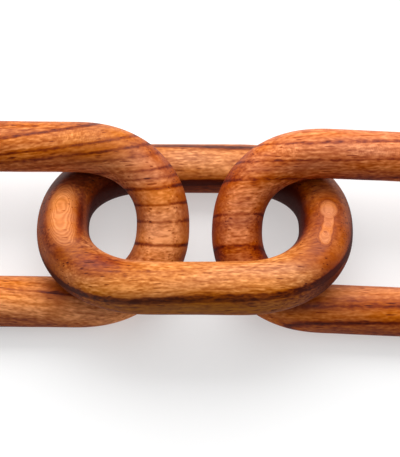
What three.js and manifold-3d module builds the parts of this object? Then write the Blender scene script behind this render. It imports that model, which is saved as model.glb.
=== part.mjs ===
// A slack wooden chain of three oval links, each carved and sanded from solid wood, lying loose
// on a table. Every link leans on its neighbours, the outer two to one side and the middle one to
// the other, and each lies on the sanded underside of its lower bar. Millimetres, +Z up, X along
// the chain, and the origin on the table under the middle of the chain.
import * as THREE from "three";
import { mergeVertices } from "three/addons/utils/BufferGeometryUtils.js";
import Module from "manifold-3d";

// Driving dimensions that every link shares
const LINK_LENGTH = 110; // over the two round ends
const LINK_WIDTH = 72.6; // over the two long bars
const BAR_DIAMETER = 18.4;
const END_REACH = 30.9; // of a round end, along the centre line of the link
const END_SQUARENESS = 2.23; // exponent of the end's oval: 2 is an ellipse, more has squarer shoulders
const FLAT_DEPTH = 0.35; // sanded off the lowest bar, so that the link doesn't roll
const WOOD_COLOUR = 0xa8602c;

// How finely a link is faceted
const BAR_SIDES = 24;
const LINK_STEPS = 64;

// The links, each a little different as hand-carved ones are. x and y place the link's middle.
// lean is how far its far bar is raised, or its near bar when negative, and turn is its slant on
// the table, both in degrees. The bar's radius is a little larger at the tips than halfway along
// the sides, larger at the right tip than at the left one, and larger on the far side.
const LINKS = [
  { name: "left_link", x: -58.22, y: 1.68, lean: 21.38, turn: -0.58,
    radius: 9.19, tips: 0.22, right: -0.12, far: -0.07 },
  { name: "middle_link", x: -1.51, y: 0.73, lean: -22.18, turn: -0.32,
    radius: 9.18, tips: 0.18, right: 0.18, far: -0.15 },
  { name: "right_link", x: 59.12, y: -1.7, lean: 22.98, turn: -2.72,
    radius: 8.74, tips: 0.03, right: -0.09, far: 0.02 },
];

const wasm = await Module();
wasm.setup();

// The centre line of a link, in its own plane, anticlockwise from the right tip: two straight bars
// joined by two oval ends.
class LinkCentreLine extends THREE.Curve {
  constructor() {
    super();
    this.halfLength = (LINK_LENGTH - BAR_DIAMETER) / 2;
    this.halfWidth = (LINK_WIDTH - BAR_DIAMETER) / 2;
    this.halfStraight = this.halfLength - END_REACH;
    this.straightShare = 0.5 * (this.halfStraight / (this.halfStraight + END_REACH));
  }

  // side is 1 for the right end and -1 for the left one, and angle runs from -90 to 90 degrees
  end(side, angle, target) {
    const power = 2 / END_SQUARENESS;
    const along = Math.abs(Math.cos(angle)) ** power;
    const across = Math.sign(Math.sin(angle)) * Math.abs(Math.sin(angle)) ** power;
    return target.set(
      side * (this.halfStraight + END_REACH * along),
      side * this.halfWidth * across,
      0,
    );
  }

  getPoint(t, target = new THREE.Vector3()) {
    const quarterShare = 0.25 - this.straightShare / 2;
    const around = (t % 1) + (t < 0 ? 1 : 0);
    const half = around < 0.25 || around >= 0.75 ? 1 : -1;
    const fromTip = half === 1 ? (around >= 0.75 ? around - 1 : around) : around - 0.5;
    if (Math.abs(fromTip) < quarterShare) {
      return this.end(half, (fromTip / quarterShare) * (Math.PI / 2), target);
    }
    const along = (0.25 - Math.abs(fromTip)) / (this.straightShare / 2);
    const across = Math.sign(fromTip) * this.halfWidth;
    return target.set(half * this.halfStraight * along, half * across, 0);
  }
}

const centreLine = new LinkCentreLine();
centreLine.arcLengthDivisions = 4000;

function barRadius(link, point) {
  const around = Math.atan2(point.y / centreLine.halfWidth, point.x / centreLine.halfLength);
  return (
    link.radius +
    link.tips * Math.cos(2 * around) +
    link.right * Math.cos(around) +
    link.far * Math.sin(around)
  );
}

// A ring drawn out onto the centre line, with the bar's own radius at each step
function linkGeometry(link) {
  const ring = new THREE.TorusGeometry(1, 0.4, BAR_SIDES, LINK_STEPS);
  const position = ring.getAttribute("position");
  const uv = ring.getAttribute("uv");
  const outward = new THREE.Vector3();
  const centre = new THREE.Vector3();
  const up = new THREE.Vector3(0, 0, 1);
  for (let i = 0; i < position.count; i += 1) {
    const step = Math.round(uv.getX(i) * LINK_STEPS) % LINK_STEPS;
    const side = Math.round(uv.getY(i) * BAR_SIDES) % BAR_SIDES;
    const share = step / LINK_STEPS;
    const angle = (side / BAR_SIDES) * 2 * Math.PI;
    centreLine.getPointAt(share, centre);
    outward.crossVectors(centreLine.getTangentAt(share), up).normalize();
    const radius = barRadius(link, centre);
    centre.addScaledVector(outward, radius * Math.cos(angle));
    centre.addScaledVector(up, radius * Math.sin(angle));
    position.setXYZ(i, centre.x, centre.y, centre.z);
  }
  return ring;
}

function toSolid(geometry) {
  const bare = geometry.clone();
  bare.deleteAttribute("normal");
  bare.deleteAttribute("uv");
  const merged = mergeVertices(bare, 1e-4);
  return new wasm.Manifold(
    new wasm.Mesh({
      numProp: 3,
      vertProperties: new Float32Array(merged.getAttribute("position").array),
      triVerts: new Uint32Array(merged.index.array),
    }),
  );
}

function toGeometry(solid) {
  const mesh = solid.getMesh();
  const geometry = new THREE.BufferGeometry();
  geometry.setAttribute("position", new THREE.BufferAttribute(mesh.vertProperties, 3));
  geometry.setIndex(new THREE.BufferAttribute(mesh.triVerts, 1));
  geometry.computeVertexNormals();
  return geometry;
}

// Height of the link's middle above the table, with FLAT_DEPTH of its lowest bar below the table
function restingHeight(geometry, lean) {
  const tipped = geometry.clone().rotateX(lean);
  tipped.computeBoundingBox();
  return -tipped.boundingBox.min.z - FLAT_DEPTH;
}

// The table's top as a block, seen from the link's own frame
function tableBlock(link) {
  const depth = 20;
  const block = new THREE.BoxGeometry(2 * LINK_LENGTH, 2 * LINK_LENGTH, depth);
  block.translate(link.position.x, link.position.y, -depth / 2);
  return block.applyMatrix4(link.matrix.clone().invert());
}

function makeLink(spec) {
  const lean = THREE.MathUtils.degToRad(spec.lean);
  const turn = THREE.MathUtils.degToRad(spec.turn);
  const ring = linkGeometry(spec);
  const wood = new THREE.MeshStandardMaterial({
    color: WOOD_COLOUR,
    roughness: 0.45,
    metalness: 0,
  });
  const link = new THREE.Mesh(ring, wood);
  link.name = spec.name;
  link.position.set(spec.x, spec.y, restingHeight(ring, lean));
  link.rotation.set(lean, 0, turn, "ZYX");
  link.updateMatrix();
  link.geometry = toGeometry(toSolid(ring).subtract(toSolid(tableBlock(link))));
  return link;
}

const chain = new THREE.Group();
chain.name = "wooden_chain";
for (const spec of LINKS) {
  chain.add(makeLink(spec));
}

export default chain;
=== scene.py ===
# A slack wooden chain of three oval links, carved from solid hardwood, sanded smooth and oiled,
# lying loose on a pale table. Metres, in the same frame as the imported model.
import math

import bpy
import numpy as np
from mathutils import Euler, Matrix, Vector


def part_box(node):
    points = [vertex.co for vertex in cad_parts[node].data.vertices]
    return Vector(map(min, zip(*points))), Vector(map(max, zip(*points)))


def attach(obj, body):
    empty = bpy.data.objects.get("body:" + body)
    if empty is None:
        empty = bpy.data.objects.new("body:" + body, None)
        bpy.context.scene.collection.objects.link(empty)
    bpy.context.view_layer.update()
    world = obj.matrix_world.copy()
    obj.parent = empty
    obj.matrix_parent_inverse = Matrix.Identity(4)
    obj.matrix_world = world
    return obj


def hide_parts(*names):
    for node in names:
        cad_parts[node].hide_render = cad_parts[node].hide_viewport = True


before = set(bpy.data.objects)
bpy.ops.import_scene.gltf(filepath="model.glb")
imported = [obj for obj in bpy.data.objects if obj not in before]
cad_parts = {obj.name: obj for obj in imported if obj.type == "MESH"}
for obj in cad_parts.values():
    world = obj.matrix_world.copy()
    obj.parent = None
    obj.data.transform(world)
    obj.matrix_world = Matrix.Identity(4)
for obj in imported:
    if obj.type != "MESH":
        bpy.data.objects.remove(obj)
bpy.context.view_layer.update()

MM = 0.001

# Driving dimensions that every link shares, as in the solids
LINK_LENGTH = 110 * MM
LINK_WIDTH = 72.6 * MM
BAR_DIAMETER = 18.4 * MM
END_REACH = 30.9 * MM
END_SQUARENESS = 2.23

# Half the length and the width of a link's centre line
HALF_LENGTH = (LINK_LENGTH - BAR_DIAMETER) / 2
HALF_WIDTH = (LINK_WIDTH - BAR_DIAMETER) / 2

# How finely a link is carved, before the last smoothing
BAR_SIDES = 64
LINK_STEPS = 160
HALF_END_POINTS = 1000
MERGE_DISTANCE = 0.02 * MM
CUT_TOLERANCE = 0.001 * MM
SMOOTH_ANGLE = math.radians(9)

# Unevenness that hand sanding leaves, always inwards from the true form
SANDING_DEPTH = 0.2 * MM
SANDING_SPREAD = 17 * MM

# The links as they lie, as in the solids: the place of the middle, how far the far bar is raised
# and the slant on the table in degrees, and the bar's radius with its small changes in millimetres
LINKS = {
    "left_link": dict(x=-58.22, y=1.68, lean=21.38, turn=-0.58,
                      radius=9.19, tips=0.22, right=-0.12, far=-0.07),
    "middle_link": dict(x=-1.51, y=0.73, lean=-22.18, turn=-0.32,
                        radius=9.18, tips=0.18, right=0.18, far=-0.15),
    "right_link": dict(x=59.12, y=-1.7, lean=22.98, turn=-2.72,
                       radius=8.74, tips=0.03, right=-0.09, far=0.02),
}

# The wood of each link, in millimetres from its middle: along the link, across it and through it.
# Each is cut from its own board, so its growth layers lie their own way. facing is the angle in
# degrees from across the link towards its face, slope is the layers' rise along it, fan their
# spreading, crown and cup the middle and depth of their curve across it, and bow their bend
# lengthwise.
# zones says how light the wood is at distances across the layers, 0 being near black and 1 pale
# gold, and lines the dark growth lines in it with their depth. Beyond island, the sanding runs
# nearly level with the layers, and the wood shows contours.
# swellings are bumps of the layers, each with its middle, its reach, its height and the share of
# its reach over which it falls off. shades are places painted darker, lighter or redder, each with
# its middle, its reach, its depth and how much redder it is. Those on the middle link's shoulders
# and inner sides, under its far bar and at its left far corner, and the one on the left link's near
# bar, are painted shade where the links shadow each other; the others darken, lighten or redden the
# wood in places. curls are patches of rising fibres, each with its middle, its reach and its
# strength.
# The end darkness is how much darker the end grain is; it also paints shade on the sides that face
# along the link, where less light falls. redness and warmth are the tint of the whole link and how
# rich its colour is, and seed shifts its patterns from the other links'.
GRAIN = {
    "left_link": dict(
        facing=179.1, slope=-0.021, fan=-0.0044, crown=-0.5, cup=-0.0038, bow=0, seed=3.7,
        zones=[(-38, 0.60), (-33, 0.77), (-27, 0.82), (-21, 0.77), (-17, 0.92), (1, 1.02), (4, 1.12),
               (8, 0.91), (14, 0.85), (28, 1.00), (33, 0.67), (38, 0.50)],
        lines=[(-31.4, 0.38), (-25.5, 0.32), (-22.3, 0.32), (-19.5, 0.15), (-15.2, 0.34),
               (-12.7, 0.25), (-9.8, 0.45), (-5.4, 0.34), (-0.8, 0.32), (5.8, 0.40), (12, 0.30),
               (16, 0.30), (22.5, 0.38)],
        swellings={},
        shades={
            "far bar": ((24, 28, 5), (24, 14, 14), 0.08, -0.4),
            "right far corner": ((42, 18, 4), (14, 18, 12), 0.07, 0.5),
            # painted shadow where the middle link lies over the near bar
            "near bar": ((10, -23, 8), (9, 11, 9), 0.3, 0),
        },
        curls={
            "far bar": ((17, 31, 8), (18, 5, 8), 0.18),
            "right end": ((49, -10.5, 7), (6, 6, 8), 0.15),
        },
        end_and_side_darkening=0.33, redness=0.0, warmth=0.99, island=40,
    ),
    "middle_link": dict(
        facing=89.0, slope=0.035, fan=0.0012, crown=6.4, cup=-0.001, bow=0.001, seed=11.3,
        zones=[(-12, 0.50), (-8, 0.58), (1.3, 0.57), (2.1, 0.34), (3.5, 0.34), (4.2, 0.68), (6, 0.87),
               (7, 0.90), (9.7, 0.70), (11.7, 0.66), (12.5, 0.78), (13.6, 0.83), (14.2, 0.94), (20, 0.95)],
        lines=[],
        swellings={
            "keyhole head": ((46.3, 0.5, 9.4), (4.4, 5.1, 8), 5.6, 0.6),
            "keyhole neck": ((46.2, -4.6, 9.4), (2.3, 5, 8), 4.4, 0.4),
            "keyhole tail": ((45.5, -8.4, 9.4), (2.5, 4.6, 8), 5.2, 0.45),
            "keyhole foot": ((44.6, -11.8, 9.4), (3.0, 4.8, 8), 6.6, 0.6),
            "left island's knot": ((-45.4, 3, 9), (7, 9, 11), 2.6, 0.75),
            "left island": ((-44.6, -3, 9), (10.4, 20, 12), 2.4, 0.75),
            "far bar, inner side": ((2, 18.5, 1.8), (30, 6, 7), 1.2, 0.6),
        },
        shades={
            # painted shade where the left link shadows this one: the shoulder, the inner side and below it
            "left shoulder": ((-33, 17, 4), (17, 13, 15), 0.42, 0),
            "left inner side": ((-34, 2, 2), (7, 18, 13), 0.19, 0.5),
            "below the left shoulder": ((-26, 18, -2), (12, 11, 14), 0.35, 0),
            "left seam": ((-39.2, -3, 8), (1.6, 20, 7), 0.13, 0.5),
            # painted shade where the right link shadows this one: the shoulder, the inner side and below it
            "right shoulder": ((34, 14, 4), (17, 11, 15), 0.42, 0),
            "right inner side": ((34, -2, 2), (12, 22, 14), 0.47, 0.4),
            "below the right shoulder": ((28, 17, -2), (12, 11, 14), 0.35, 0),
            "right end": ((46, -4, 8), (15, 26, 14), 0.08, 0.8),
            "near bar, left": ((-31, -23, 5), (17, 8, 10), 0.28, 1.2),
            # painted shade under the far bar
            "far bar, inner side": ((0, 18.5, 1), (38, 7, 7), 0.22, 0),
            "right near corner": ((43, -21, 6), (16, 9, 12), 0.18, 0.5),
            # painted shadow of the left link on this end
            "left far corner": ((-46, 15, 7), (12, 8, 12), 0.28, 0),
            "left near corner": ((-47, -20, 7), (12, 8, 12), 0.12, 0),
            "right near rim": ((51, -20, 2), (9, 15, 8), -0.3, 0.5),
            "far bar's line, left": ((-8, 31, 8), (28, 3, 6), 0.55, 0),
            "far bar's line, right": ((16, 29.8, 8), (24, 3, 6), 0.55, 0),
            "left end": ((-45, -3, 9), (11, 20, 12), 0, 0.6),
            "near bar, outer side": ((0, -35, 0), (60, 9, 8), 0, -1.5),
        },
        curls={
            "left near corner": ((-43, -24, 6), (7, 7, 9), 0.15),
        },
        end_and_side_darkening=0.36, redness=-0.5, warmth=0.983, island=12.3,
    ),
    "right_link": dict(
        facing=168.3, slope=-0.052, fan=-0.0004, crown=-6.8, cup=-0.0143, bow=-0.0001, seed=23.9,
        zones=[(-38, 0.80), (-33, 0.90), (-24, 0.84), (-19, 0.75), (-13, 0.92), (-7, 0.93), (-4, 0.82),
               (2, 0.90), (5, 0.68), (8, 0.71), (12, 0.78), (16, 0.74), (20, 0.92), (24, 0.61),
               (26.5, 0.65), (28, 0.82), (33, 0.60)],
        lines=[(-30.6, 0.32), (-26.3, 0.08), (-24.3, 0.24), (-17.9, 0.26), (-6.0, 0.26), (5.2, 0.12),
               (12, 0.2), (25.7, 0.20), (31.4, 0.36)],
        swellings={},
        shades={
            "near bar": ((0, -27, 2), (70, 14, 14), 0, -0.8),
        },
        curls={
            "left far corner": ((-29, 28, 8), (8, 5, 8), 0.18),
            "far bar": ((0, 29.5, 8), (19, 5, 8), 0.15),
        },
        end_and_side_darkening=0.33, redness=0.5, warmth=1.003, island=40,
    ),
}

# Growth layers. The zones reach this far either way, and get as light as this.
ZONE_REACH = 40
LIGHTEST = 1.2
# A dark line is shaded in over this distance, from this share of its depth, and ends over this one
LINE_SHADING = 0.8
LINE_START = 1 / 6
LINE_EDGE = 0.35
# How closely the joined swellings follow the highest one
SWELLING_JOIN = 4
# The length and breadth of the layers' waves, and how far they waver
WAVERS = [((60, 22), 0.7), ((9, 2.5), 0.25)]

# Patterns that run with the fibres: length and breadth in millimetres, detail and strength. Single
# fibres are hundredths of a millimetre wide and would not show, so fibres and flecks are drawn as
# strands of them, nearly a millimetre wide.
FIGURE = {
    "mottling": (40, 8, 2, 0.2),
    "lines": (50, 1.8, 2, 0.3),
    "fibres": (8, 0.9, 2, 0.55),
    "flecks": (2.2, 0.8, 1, 0.7),
}
# What is left of the patterns on end grain, in islands and in shades
END_FIGURE = 0.3
ISLAND_FIGURE = 0.3
SHADE_FIGURE = 0.4
# How far a surface faces along the link where its end grain, with its painted shade, starts to
# show, 1 being fully
END_WOOD_AND_SHADE_START = 0.3

# Contours on an island, and how soon they start at its edge. They are fine bands within a growth
# layer, a few tenths of a millimetre thick.
ISLAND_EDGE = 0.4
CONTOUR_SPACING = 0.4
CONTOUR_STRENGTH = 0.07

# Open pores: their spacing in millimetres, and their half sizes and soft edge as shares of it. Real
# ones are 0.2 mm wide and would hardly show, so the largest are drawn 0.5 mm wide.
PORE_SPACING = (8, 0.9, 0.9)
PORE_SIZES = (0.05, 0.3)
PORE_EDGE = 0.08
PORE_DARKNESS = 0.28

# Curl: the size of its strokes in millimetres, coarser than real ones so that they show, how much
# they twist, and between which levels of their noise they turn from dull to bright
CURL_SPACING = (0.9, 1.7, 1.7)
CURL_TWIST = 1.2
CURL_LIMITS = (0.4, 0.65)

# Wood colours, from the darkest growth line to the palest wood
WOOD_TONES = [
    (0.25, "430f06"), (0.40, "652207"), (0.50, "7d300a"), (0.60, "90410e"), (0.70, "a35018"),
    (0.80, "b36027"), (0.90, "c27137"), (1.00, "d48045"), (1.15, "ec995a"),
]
# How far one step of redness turns the hue, and how much richer the colour gets in the mottling
HUE_OF_REDNESS = -0.01
WARMTH_MOTTLING = 0.28

# Hardened oil. A thin coat sinks in and leaves the fibres open, so the gloss is low. BURNISHED says
# how far up a surface faces where handling starts to polish it, and where it is polished fully.
OIL_IOR = 1.5
OIL_GLOSS = 0.12
OIL_ROUGHNESS = 0.38
DULL_ROUGHNESS = 0.7
BURNISHED = (0.2, 0.7)
FIBRE_ROUGHNESS = 0.25
PORE_ROUGHNESS = 0.2
RELIEF_DEPTH = 0.06 * MM
RELIEF_STRENGTH = 0.6

# The camera, at the photograph's viewing angle
IMAGE_HEIGHT = 457
SENSOR = 36.0
PIXEL_AT_TARGET = 0.36 * MM
CAMERA_DISTANCE = 633.4 * MM
CAMERA_ELEVATION = math.radians(72.48)
CAMERA_TARGET = Vector((0.44, 6.10, -0.35)) * MM

# The table, in metres. It glows a little, so that the shadows on it stay pale, as in a light tent.
TABLE_SIZE = 8
TABLE_COLOUR = "b3b3b3"
TABLE_GLOW = 0.45
# Place and size in metres, and power in watts
SOFTBOXES = {
    "overhead": dict(location=(0.0, 0.25, 1.0), size=(1.6, 1.3), power=8.9),
    "behind": dict(location=(0.0, 1.0, 0.9), size=(2.0, 1.2), power=29.6),
}
ROOM_LIGHT = 0.2
WHITE = "ffffff"


def deselect_everything():
    bpy.ops.object.select_all(action="DESELECT")


# The links
def centre_line(steps):
    """Points at equal steps round a link's centre line, anticlockwise from the right tip, with headings."""
    half_straight = HALF_LENGTH - END_REACH
    power = 2 / END_SQUARENESS
    angle = np.linspace(-math.pi / 2, math.pi / 2, 2 * HALF_END_POINTS + 1)
    along = half_straight + END_REACH * np.cos(angle).clip(0) ** power
    across = HALF_WIDTH * np.sign(np.sin(angle)) * np.abs(np.sin(angle)) ** power
    right_end = np.stack([along, across], 1)
    loop = np.concatenate([right_end[HALF_END_POINTS:], -right_end, right_end[:HALF_END_POINTS + 1]])
    length = np.concatenate([[0], np.cumsum(np.linalg.norm(np.diff(loop, axis=0), axis=1))])
    share = np.arange(steps) / steps * length[-1]
    nudge = length[-1] / (4 * steps)

    def point_at(distance):
        distance = distance % length[-1]
        return np.stack([np.interp(distance, length, loop[:, k]) for k in (0, 1)], 1)

    ahead = point_at(share + nudge) - point_at(share - nudge)
    return point_at(share), np.arctan2(ahead[:, 1], ahead[:, 0])


def bar_radius(link, point):
    """The bar's radius at a point of the centre line, with its small changes round the link."""
    around = math.atan2(point[1] / HALF_WIDTH, point[0] / HALF_LENGTH)
    swell = link["tips"] * math.cos(2 * around)
    swell += link["right"] * math.cos(around) + link["far"] * math.sin(around)
    return (link["radius"] + swell) * MM


def carve_link(name, link):
    """Draws a round section out along the whole centre line and closes it on itself."""
    points, headings = centre_line(LINK_STEPS)
    deselect_everything()
    radius = bar_radius(link, points[0])
    bpy.ops.mesh.primitive_circle_add(
        vertices=BAR_SIDES, radius=radius, location=(points[0][0], points[0][1], 0),
        rotation=(math.pi / 2, 0, headings[0] - math.pi / 2),
    )
    piece = bpy.context.object
    piece.name = "carved_" + name
    bpy.ops.object.transform_apply(location=True, rotation=True, scale=True)
    bpy.ops.object.mode_set(mode="EDIT")
    bpy.ops.mesh.select_mode(type="EDGE")
    bpy.ops.mesh.select_all(action="SELECT")
    order = list(range(1, LINK_STEPS)) + [0]
    for step, before in zip(order, [0] + order):
        centre = (points[step][0], points[step][1], 0)
        move = points[step] - points[before]
        turn = (headings[step] - headings[before] + math.pi) % (2 * math.pi) - math.pi
        new_radius = bar_radius(link, points[step])
        bpy.ops.mesh.extrude_edges_move(TRANSFORM_OT_translate={"value": (move[0], move[1], 0)})
        bpy.ops.transform.rotate(value=-turn, orient_axis="Z", center_override=centre)
        bpy.ops.transform.resize(value=(new_radius / radius,) * 3, center_override=centre)
        radius = new_radius
    bpy.ops.mesh.select_all(action="SELECT")
    bpy.ops.mesh.remove_doubles(threshold=MERGE_DISTANCE)
    bpy.ops.mesh.normals_make_consistent(inside=False)
    bpy.ops.object.mode_set(mode="OBJECT")
    return piece


def lay_down(piece, name, link):
    """Turns the link to its lean and slant, and sets its top level with the solid's. Returns the
    place of its middle and its turn, which its wood is drawn by."""
    turned = Euler((math.radians(link["lean"]), 0, math.radians(link["turn"])), "XYZ")
    piece.rotation_euler = turned
    bpy.ops.object.transform_apply(rotation=True)
    highest = max(vertex.co.z for vertex in piece.data.vertices)
    place = Vector((link["x"] * MM, link["y"] * MM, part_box(name)[1][2] - highest))
    piece.location = place
    bpy.ops.object.transform_apply(location=True)
    return place, turned


def add_modifier(piece, kind, **settings):
    modifier = piece.modifiers.new(kind.title(), kind)
    for key, value in settings.items():
        setattr(modifier, key, value)
    bpy.ops.object.modifier_apply(modifier=modifier.name)


def smooth_and_sand(piece):
    """Rounds off the carved facets, and leaves the slight unevenness of hand sanding."""
    add_modifier(piece, "SUBSURF", levels=1, render_levels=1)
    unevenness = bpy.data.textures.new(piece.name + "_sanding", "CLOUDS")
    unevenness.noise_scale = SANDING_SPREAD
    unevenness.noise_depth = 1
    add_modifier(piece, "DISPLACE", texture=unevenness, strength=SANDING_DEPTH, mid_level=1)


def sand_underside(piece):
    """Cuts the link off level with the table, which leaves the flat that it lies on."""
    bpy.ops.object.mode_set(mode="EDIT")
    bpy.ops.mesh.select_all(action="SELECT")
    bpy.ops.mesh.bisect(
        plane_co=(0, 0, 0), plane_no=(0, 0, 1), use_fill=True, clear_inner=True, threshold=CUT_TOLERANCE,
    )
    bpy.ops.mesh.select_all(action="SELECT")
    bpy.ops.mesh.normals_make_consistent(inside=False)
    bpy.ops.object.mode_set(mode="OBJECT")
    bpy.ops.object.shade_smooth_by_angle(angle=SMOOTH_ANGLE)


# The wood
def linear_colour(hex_colour):
    """The linear RGBA of an sRGB hex colour."""
    channels = [int(hex_colour[k:k + 2], 16) / 255 for k in (0, 2, 4)]
    linear = [c / 12.92 if c <= 0.04045 else ((c + 0.055) / 1.055) ** 2.4 for c in channels]
    return (*linear, 1)


def node(tree, kind, links, **settings):
    """Adds a node with its settings, and links or fills the sockets that links names."""
    added = tree.nodes.new("ShaderNode" + kind)
    for name, value in settings.items():
        setattr(added, name, value)
    for socket, value in links.items():
        if isinstance(value, bpy.types.Node):
            value = value.outputs[0]
        if isinstance(value, bpy.types.NodeSocket):
            tree.links.new(value, added.inputs[socket])
        else:
            added.inputs[socket].default_value = value
    return added


def patch(tree, in_link, centre, reach, fall=1):
    """1 in the middle of an egg-shaped place in the link and 0 outside its reach. fall is the share
    of the reach over which it falls off."""
    scaled = node(tree, "Mapping", {"Vector": in_link, "Location": centre, "Scale": reach},
                  vector_type="TEXTURE")
    nearness = node(tree, "TexGradient", {0: scaled}, gradient_type="SPHERICAL")
    return node(tree, "MapRange", {"Value": nearness, "From Max": fall},
                interpolation_type="SMOOTHSTEP")


def growth_layers(tree, in_link, grain):
    """Each point by its place along the link, by how far it lies across the growth layers and by its
    place sideways in them. The middle one is the number that a layer keeps wherever it runs: the
    layers fan out along the link, are cupped across it, swell in places and waver."""
    across = math.cos(math.radians(grain["facing"]))
    up = math.sin(math.radians(grain["facing"]))
    along = node(tree, "SeparateXYZ", {0: in_link})
    through = node(tree, "VectorMath", {0: in_link, 1: (-grain["slope"], across, up)},
                   operation="DOT_PRODUCT").outputs["Value"]
    sideways = node(tree, "VectorMath", {0: in_link, 1: (0, -up, across)},
                    operation="DOT_PRODUCT").outputs["Value"]
    fan = node(tree, "Math", {0: along, 1: grain["fan"], 2: 1}, operation="MULTIPLY_ADD")
    fanned = node(tree, "Math", {0: through, 1: fan}, operation="MULTIPLY")
    off_crown = node(tree, "Math", {0: sideways, 1: grain["crown"]}, operation="SUBTRACT")
    off_crown = node(tree, "Math", {0: off_crown, 1: 2}, operation="POWER")
    cupped = node(tree, "Math", {0: off_crown, 1: grain["cup"], 2: fanned}, operation="MULTIPLY_ADD")
    along_squared = node(tree, "Math", {0: along, 1: along}, operation="MULTIPLY")
    layer = node(tree, "Math", {0: along_squared, 1: grain["bow"], 2: cupped}, operation="MULTIPLY_ADD")

    swollen = 0
    for centre, reach, height, fall in grain["swellings"].values():
        risen = node(tree, "Math", {0: patch(tree, in_link, centre, reach, fall), 1: height},
                     operation="MULTIPLY")
        risen = node(tree, "Math", {0: risen, 1: SWELLING_JOIN}, operation="POWER")
        swollen = node(tree, "Math", {0: risen, 1: swollen})
    swollen = node(tree, "Math", {0: swollen, 1: 1 / SWELLING_JOIN}, operation="POWER")
    layer = node(tree, "Math", {0: layer, 1: swollen})

    for (length, breadth), amount in WAVERS:
        stretched = node(tree, "VectorMath", {0: in_link, 1: (1 / length, 1 / breadth, 1 / breadth),
                                              2: (grain["seed"],) * 3}, operation="MULTIPLY_ADD")
        waver = node(tree, "TexNoise", {"Vector": stretched, "Scale": 1, "Detail": 1})
        waver = node(tree, "MapRange", {"Value": waver, "To Min": -amount, "To Max": amount})
        layer = node(tree, "Math", {0: layer, 1: waver})
    return node(tree, "CombineXYZ", {"X": along, "Y": layer, "Z": sideways}), layer


def growth_points(grain):
    """The lightness at distances across the layers: the zones with the lines drawn in."""
    points = dict(grain["zones"])
    for line, depth in grain["lines"]:
        level = np.interp(line, *zip(*grain["zones"]))
        points = {at: value for at, value in points.items()
                  if not line - LINE_SHADING <= at <= line + LINE_EDGE}
        points[line - LINE_SHADING] = level - LINE_START * depth
        points[line] = level - depth
        points[line + LINE_EDGE] = level
    return sorted(points.items())


def growth_lightness(tree, layer, grain):
    """The lightness of the growth layers, before end grain, shades and fine patterns."""
    share = node(tree, "MapRange", {"Value": layer, "From Min": -ZONE_REACH, "From Max": ZONE_REACH})
    growth = node(tree, "FloatCurve", {"Value": share})
    points = growth.mapping.curves[0].points
    for number, (distance, level) in enumerate(growth_points(grain)):
        at = ((distance / ZONE_REACH + 1) / 2, level / LIGHTEST)
        if number < 2:
            points[number].location = at
        else:
            points.new(*at)
    for point in points:
        point.handle_type = "AUTO_CLAMPED"
    growth.mapping.update()
    return node(tree, "Math", {0: growth, 1: LIGHTEST}, operation="MULTIPLY")


def open_pores(tree, in_wood, grain):
    """1 in an open pore and 0 elsewhere: short grooves along the fibres, and dots on the end grain."""
    place = node(tree, "VectorMath", {0: in_wood, 1: [1 / size for size in PORE_SPACING],
                                      2: (grain["seed"],) * 3}, operation="MULTIPLY_ADD")
    cell = node(tree, "TexVoronoi", {"Vector": place, "Scale": 1})
    kind = node(tree, "SeparateXYZ", {0: cell.outputs["Color"]})
    size = node(tree, "MapRange", {"Value": kind, "To Min": PORE_SIZES[0], "To Max": PORE_SIZES[1]})
    inside = node(tree, "Math", {0: size, 1: cell.outputs["Distance"]}, operation="SUBTRACT")
    return node(tree, "MapRange", {"Value": inside, "From Max": PORE_EDGE})


def curl_strokes(tree, in_link):
    """Short strokes where fibres rise to the surface and catch the light."""
    place = node(tree, "VectorMath", {0: in_link, 1: [1 / size for size in CURL_SPACING]},
                 operation="MULTIPLY")
    noise = node(tree, "TexNoise", {"Vector": place, "Scale": 1, "Detail": 1, "Distortion": CURL_TWIST})
    return node(tree, "MapRange", {"Value": noise, "From Min": CURL_LIMITS[0],
                                   "From Max": CURL_LIMITS[1]})


def wood_colour(tree, lightness, redness, warmth):
    """The wood's tone at a lightness, tinted and made richer or duller."""
    lightness = node(tree, "Math", {0: lightness, 1: LIGHTEST}, operation="DIVIDE")
    palette = node(tree, "ValToRGB", {0: lightness})
    tones = palette.color_ramp.elements
    for number, (level, colour) in enumerate(WOOD_TONES):
        tone = tones[number] if number < 2 else tones.new(1)
        tone.position = level / LIGHTEST
        tone.color = linear_colour(colour)
    hue = node(tree, "Math", {0: redness, 1: HUE_OF_REDNESS, 2: 0.5}, operation="MULTIPLY_ADD")
    return node(tree, "HueSaturation", {"Hue": hue, "Saturation": warmth, "Color": palette})


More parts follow.
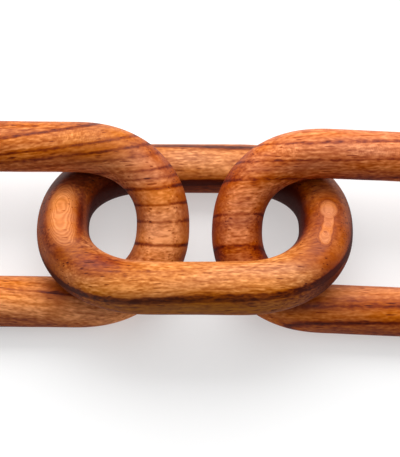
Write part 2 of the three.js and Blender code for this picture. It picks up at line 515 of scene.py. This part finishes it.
def oiled_hardwood(name, place, turned, grain):
    """Open-pored tropical hardwood, sanded and oiled: maroon growth lines in orange-brown wood, fine
    fibres and dark pores along it, and a low satin gloss."""
    wood = bpy.data.materials.new("oiled_hardwood_" + name)
    wood.use_nodes = True
    tree = wood.node_tree
    surface = tree.nodes["Principled BSDF"]
    in_scene = node(tree, "TexCoord", {})
    facing = in_scene.outputs["Normal"]
    in_link = node(tree, "Mapping", {"Vector": in_scene.outputs["Object"], "Location": place,
                                     "Rotation": turned, "Scale": (MM, MM, MM)}, vector_type="TEXTURE")
    in_wood, layer = growth_layers(tree, in_link, grain)
    lightness = growth_lightness(tree, layer, grain)

    # End grain drinks more oil and dries darker. The same darkening is painted shade on the sides that
    # face along the link, where less light falls
    facing_end = node(tree, "VectorMath", {0: facing, 1: (math.cos(turned.z), math.sin(turned.z), 0)},
                      operation="DOT_PRODUCT").outputs["Value"]
    facing_end = node(tree, "Math", {0: facing_end}, operation="ABSOLUTE")
    end_wood_and_side_shade = node(tree, "MapRange", {"Value": facing_end, "From Min": END_WOOD_AND_SHADE_START},
                     interpolation_type="SMOOTHSTEP")
    lightness = node(tree, "Math", {0: end_wood_and_side_shade, 1: -grain["end_and_side_darkening"], 2: lightness},
                     operation="MULTIPLY_ADD")

    # Places painted darker, lighter or redder: painted shade where the links shadow each other, and
    # places of darker, lighter or redder wood. The patterns are calmer in them, on end grain and in
    # islands.
    island = node(tree, "MapRange", {"Value": layer, "From Min": grain["island"] - ISLAND_EDGE,
                                     "From Max": grain["island"]})
    calm = node(tree, "MapRange", {"Value": end_wood_and_side_shade, "To Min": 1, "To Max": END_FIGURE})
    island_calm = node(tree, "MapRange", {"Value": island, "To Min": 1, "To Max": ISLAND_FIGURE})
    calm = node(tree, "Math", {0: calm, 1: island_calm}, operation="MULTIPLY")
    redness = grain["redness"]
    for centre, reach, depth, redder in grain["shades"].values():
        shade = patch(tree, in_link, centre, reach)
        lightness = node(tree, "Math", {0: shade, 1: -depth, 2: lightness}, operation="MULTIPLY_ADD")
        redness = node(tree, "Math", {0: shade, 1: redder, 2: redness}, operation="MULTIPLY_ADD")
        shade_calm = node(tree, "MapRange", {"Value": shade, "To Min": 1, "To Max": SHADE_FIGURE})
        calm = node(tree, "Math", {0: calm, 1: shade_calm}, operation="MULTIPLY")

    # Patterns that run with the fibres
    pattern = {}
    for figure, (length, breadth, detail, amount) in FIGURE.items():
        stretched = node(tree, "VectorMath", {0: in_wood, 1: (1 / length, 1 / breadth, 1 / breadth),
                                              2: (grain["seed"],) * 3}, operation="MULTIPLY_ADD")
        noise = node(tree, "TexNoise", {"Vector": stretched, "Scale": 1, "Detail": detail})
        pattern[figure] = node(tree, "Math", {0: noise, 1: 0.5}, operation="SUBTRACT")
        strength = node(tree, "Math", {0: calm, 1: amount}, operation="MULTIPLY")
        lightness = node(tree, "Math", {0: pattern[figure], 1: strength, 2: lightness},
                         operation="MULTIPLY_ADD")

    # Contours where an island cuts the layers
    contour = node(tree, "Math", {0: layer, 1: 2 * math.pi / CONTOUR_SPACING}, operation="MULTIPLY")
    contour = node(tree, "Math", {0: contour}, operation="SINE")
    contour = node(tree, "Math", {0: contour, 1: island}, operation="MULTIPLY")
    lightness = node(tree, "Math", {0: contour, 1: CONTOUR_STRENGTH, 2: lightness},
                     operation="MULTIPLY_ADD")

    pores = open_pores(tree, in_wood, grain)
    lightness = node(tree, "Math", {0: pores, 1: -PORE_DARKNESS, 2: lightness},
                     operation="MULTIPLY_ADD")
    strokes = curl_strokes(tree, in_link)
    for centre, reach, strength in grain["curls"].values():
        curled = node(tree, "Math", {0: patch(tree, in_link, centre, reach), 1: strokes},
                      operation="MULTIPLY")
        lightness = node(tree, "Math", {0: curled, 1: strength, 2: lightness},
                         operation="MULTIPLY_ADD")
    warmth = node(tree, "Math", {0: pattern["mottling"], 1: WARMTH_MOTTLING, 2: grain["warmth"]},
                  operation="MULTIPLY_ADD")
    colour = wood_colour(tree, lightness, redness, warmth)
    tree.links.new(colour.outputs[0], surface.inputs["Base Color"])

    # Satin oil: burnished by handling on the upper side and dull below, duller in the pores, and
    # uneven where the fibres drank more
    surface.inputs["IOR"].default_value = OIL_IOR
    surface.inputs["Specular IOR Level"].default_value = OIL_GLOSS
    facing_up = node(tree, "SeparateXYZ", {0: facing}).outputs["Z"]
    roughness = node(tree, "MapRange", {"Value": facing_up, "From Min": BURNISHED[0],
                                        "From Max": BURNISHED[1], "To Min": DULL_ROUGHNESS,
                                        "To Max": OIL_ROUGHNESS})
    roughness = node(tree, "Math", {0: pattern["fibres"], 1: FIBRE_ROUGHNESS, 2: roughness},
                     operation="MULTIPLY_ADD")
    roughness = node(tree, "Math", {0: pores, 1: PORE_ROUGHNESS, 2: roughness},
                     operation="MULTIPLY_ADD")
    tree.links.new(roughness.outputs[0], surface.inputs["Roughness"])
    relief = node(tree, "Math", {0: pores, 1: -1, 2: pattern["fibres"]}, operation="MULTIPLY_ADD")
    relief = node(tree, "Bump", {"Height": relief, "Distance": RELIEF_DEPTH,
                                 "Strength": RELIEF_STRENGTH})
    tree.links.new(relief.outputs[0], surface.inputs["Normal"])
    return wood


for name, link in LINKS.items():
    piece = carve_link(name, link)
    place, turned = lay_down(piece, name, link)
    smooth_and_sand(piece)
    sand_underside(piece)
    piece.data.materials.append(oiled_hardwood(name, place, turned, GRAIN[name]))
    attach(piece, "root")
    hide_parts(name)


# Camera
def add_camera():
    back = Vector((0, -math.cos(CAMERA_ELEVATION), math.sin(CAMERA_ELEVATION)))
    deselect_everything()
    bpy.ops.object.camera_add(location=CAMERA_TARGET + CAMERA_DISTANCE * back)
    camera = bpy.context.object
    camera.rotation_euler = (math.pi / 2 - CAMERA_ELEVATION, 0, 0)
    camera.data.sensor_width = SENSOR
    camera.data.lens = SENSOR * CAMERA_DISTANCE / (PIXEL_AT_TARGET * IMAGE_HEIGHT)
    bpy.context.scene.camera = camera


# Table and light
def add_table():
    """A sheet of white background paper, far larger than the view."""
    deselect_everything()
    bpy.ops.mesh.primitive_plane_add(size=TABLE_SIZE)
    table = bpy.context.object
    table.name = "table"
    paper = bpy.data.materials.new("white_background_paper")
    paper.use_nodes = True
    surface = paper.node_tree.nodes["Principled BSDF"]
    surface.inputs["Base Color"].default_value = linear_colour(TABLE_COLOUR)
    surface.inputs["Emission Color"].default_value = linear_colour(WHITE)
    surface.inputs["Emission Strength"].default_value = TABLE_GLOW
    table.data.materials.append(paper)


def add_softbox(name, location, size, power):
    deselect_everything()
    bpy.ops.object.light_add(type="AREA", location=location)
    lamp = bpy.context.object
    lamp.name = name
    lamp.data.shape = "RECTANGLE"
    lamp.data.size, lamp.data.size_y = size
    lamp.data.energy = power
    lamp.rotation_euler = (-Vector(location)).to_track_quat("-Z", "Y").to_euler()


def light_room():
    world = bpy.data.worlds.new("studio")
    bpy.context.scene.world = world
    world.use_nodes = True
    background = world.node_tree.nodes["Background"]
    background.inputs["Color"].default_value = linear_colour(WHITE)
    background.inputs["Strength"].default_value = ROOM_LIGHT


bpy.context.scene.view_settings.view_transform = "Standard"
add_camera()
add_table()
for name, softbox in SOFTBOXES.items():
    add_softbox(name, **softbox)
light_room()
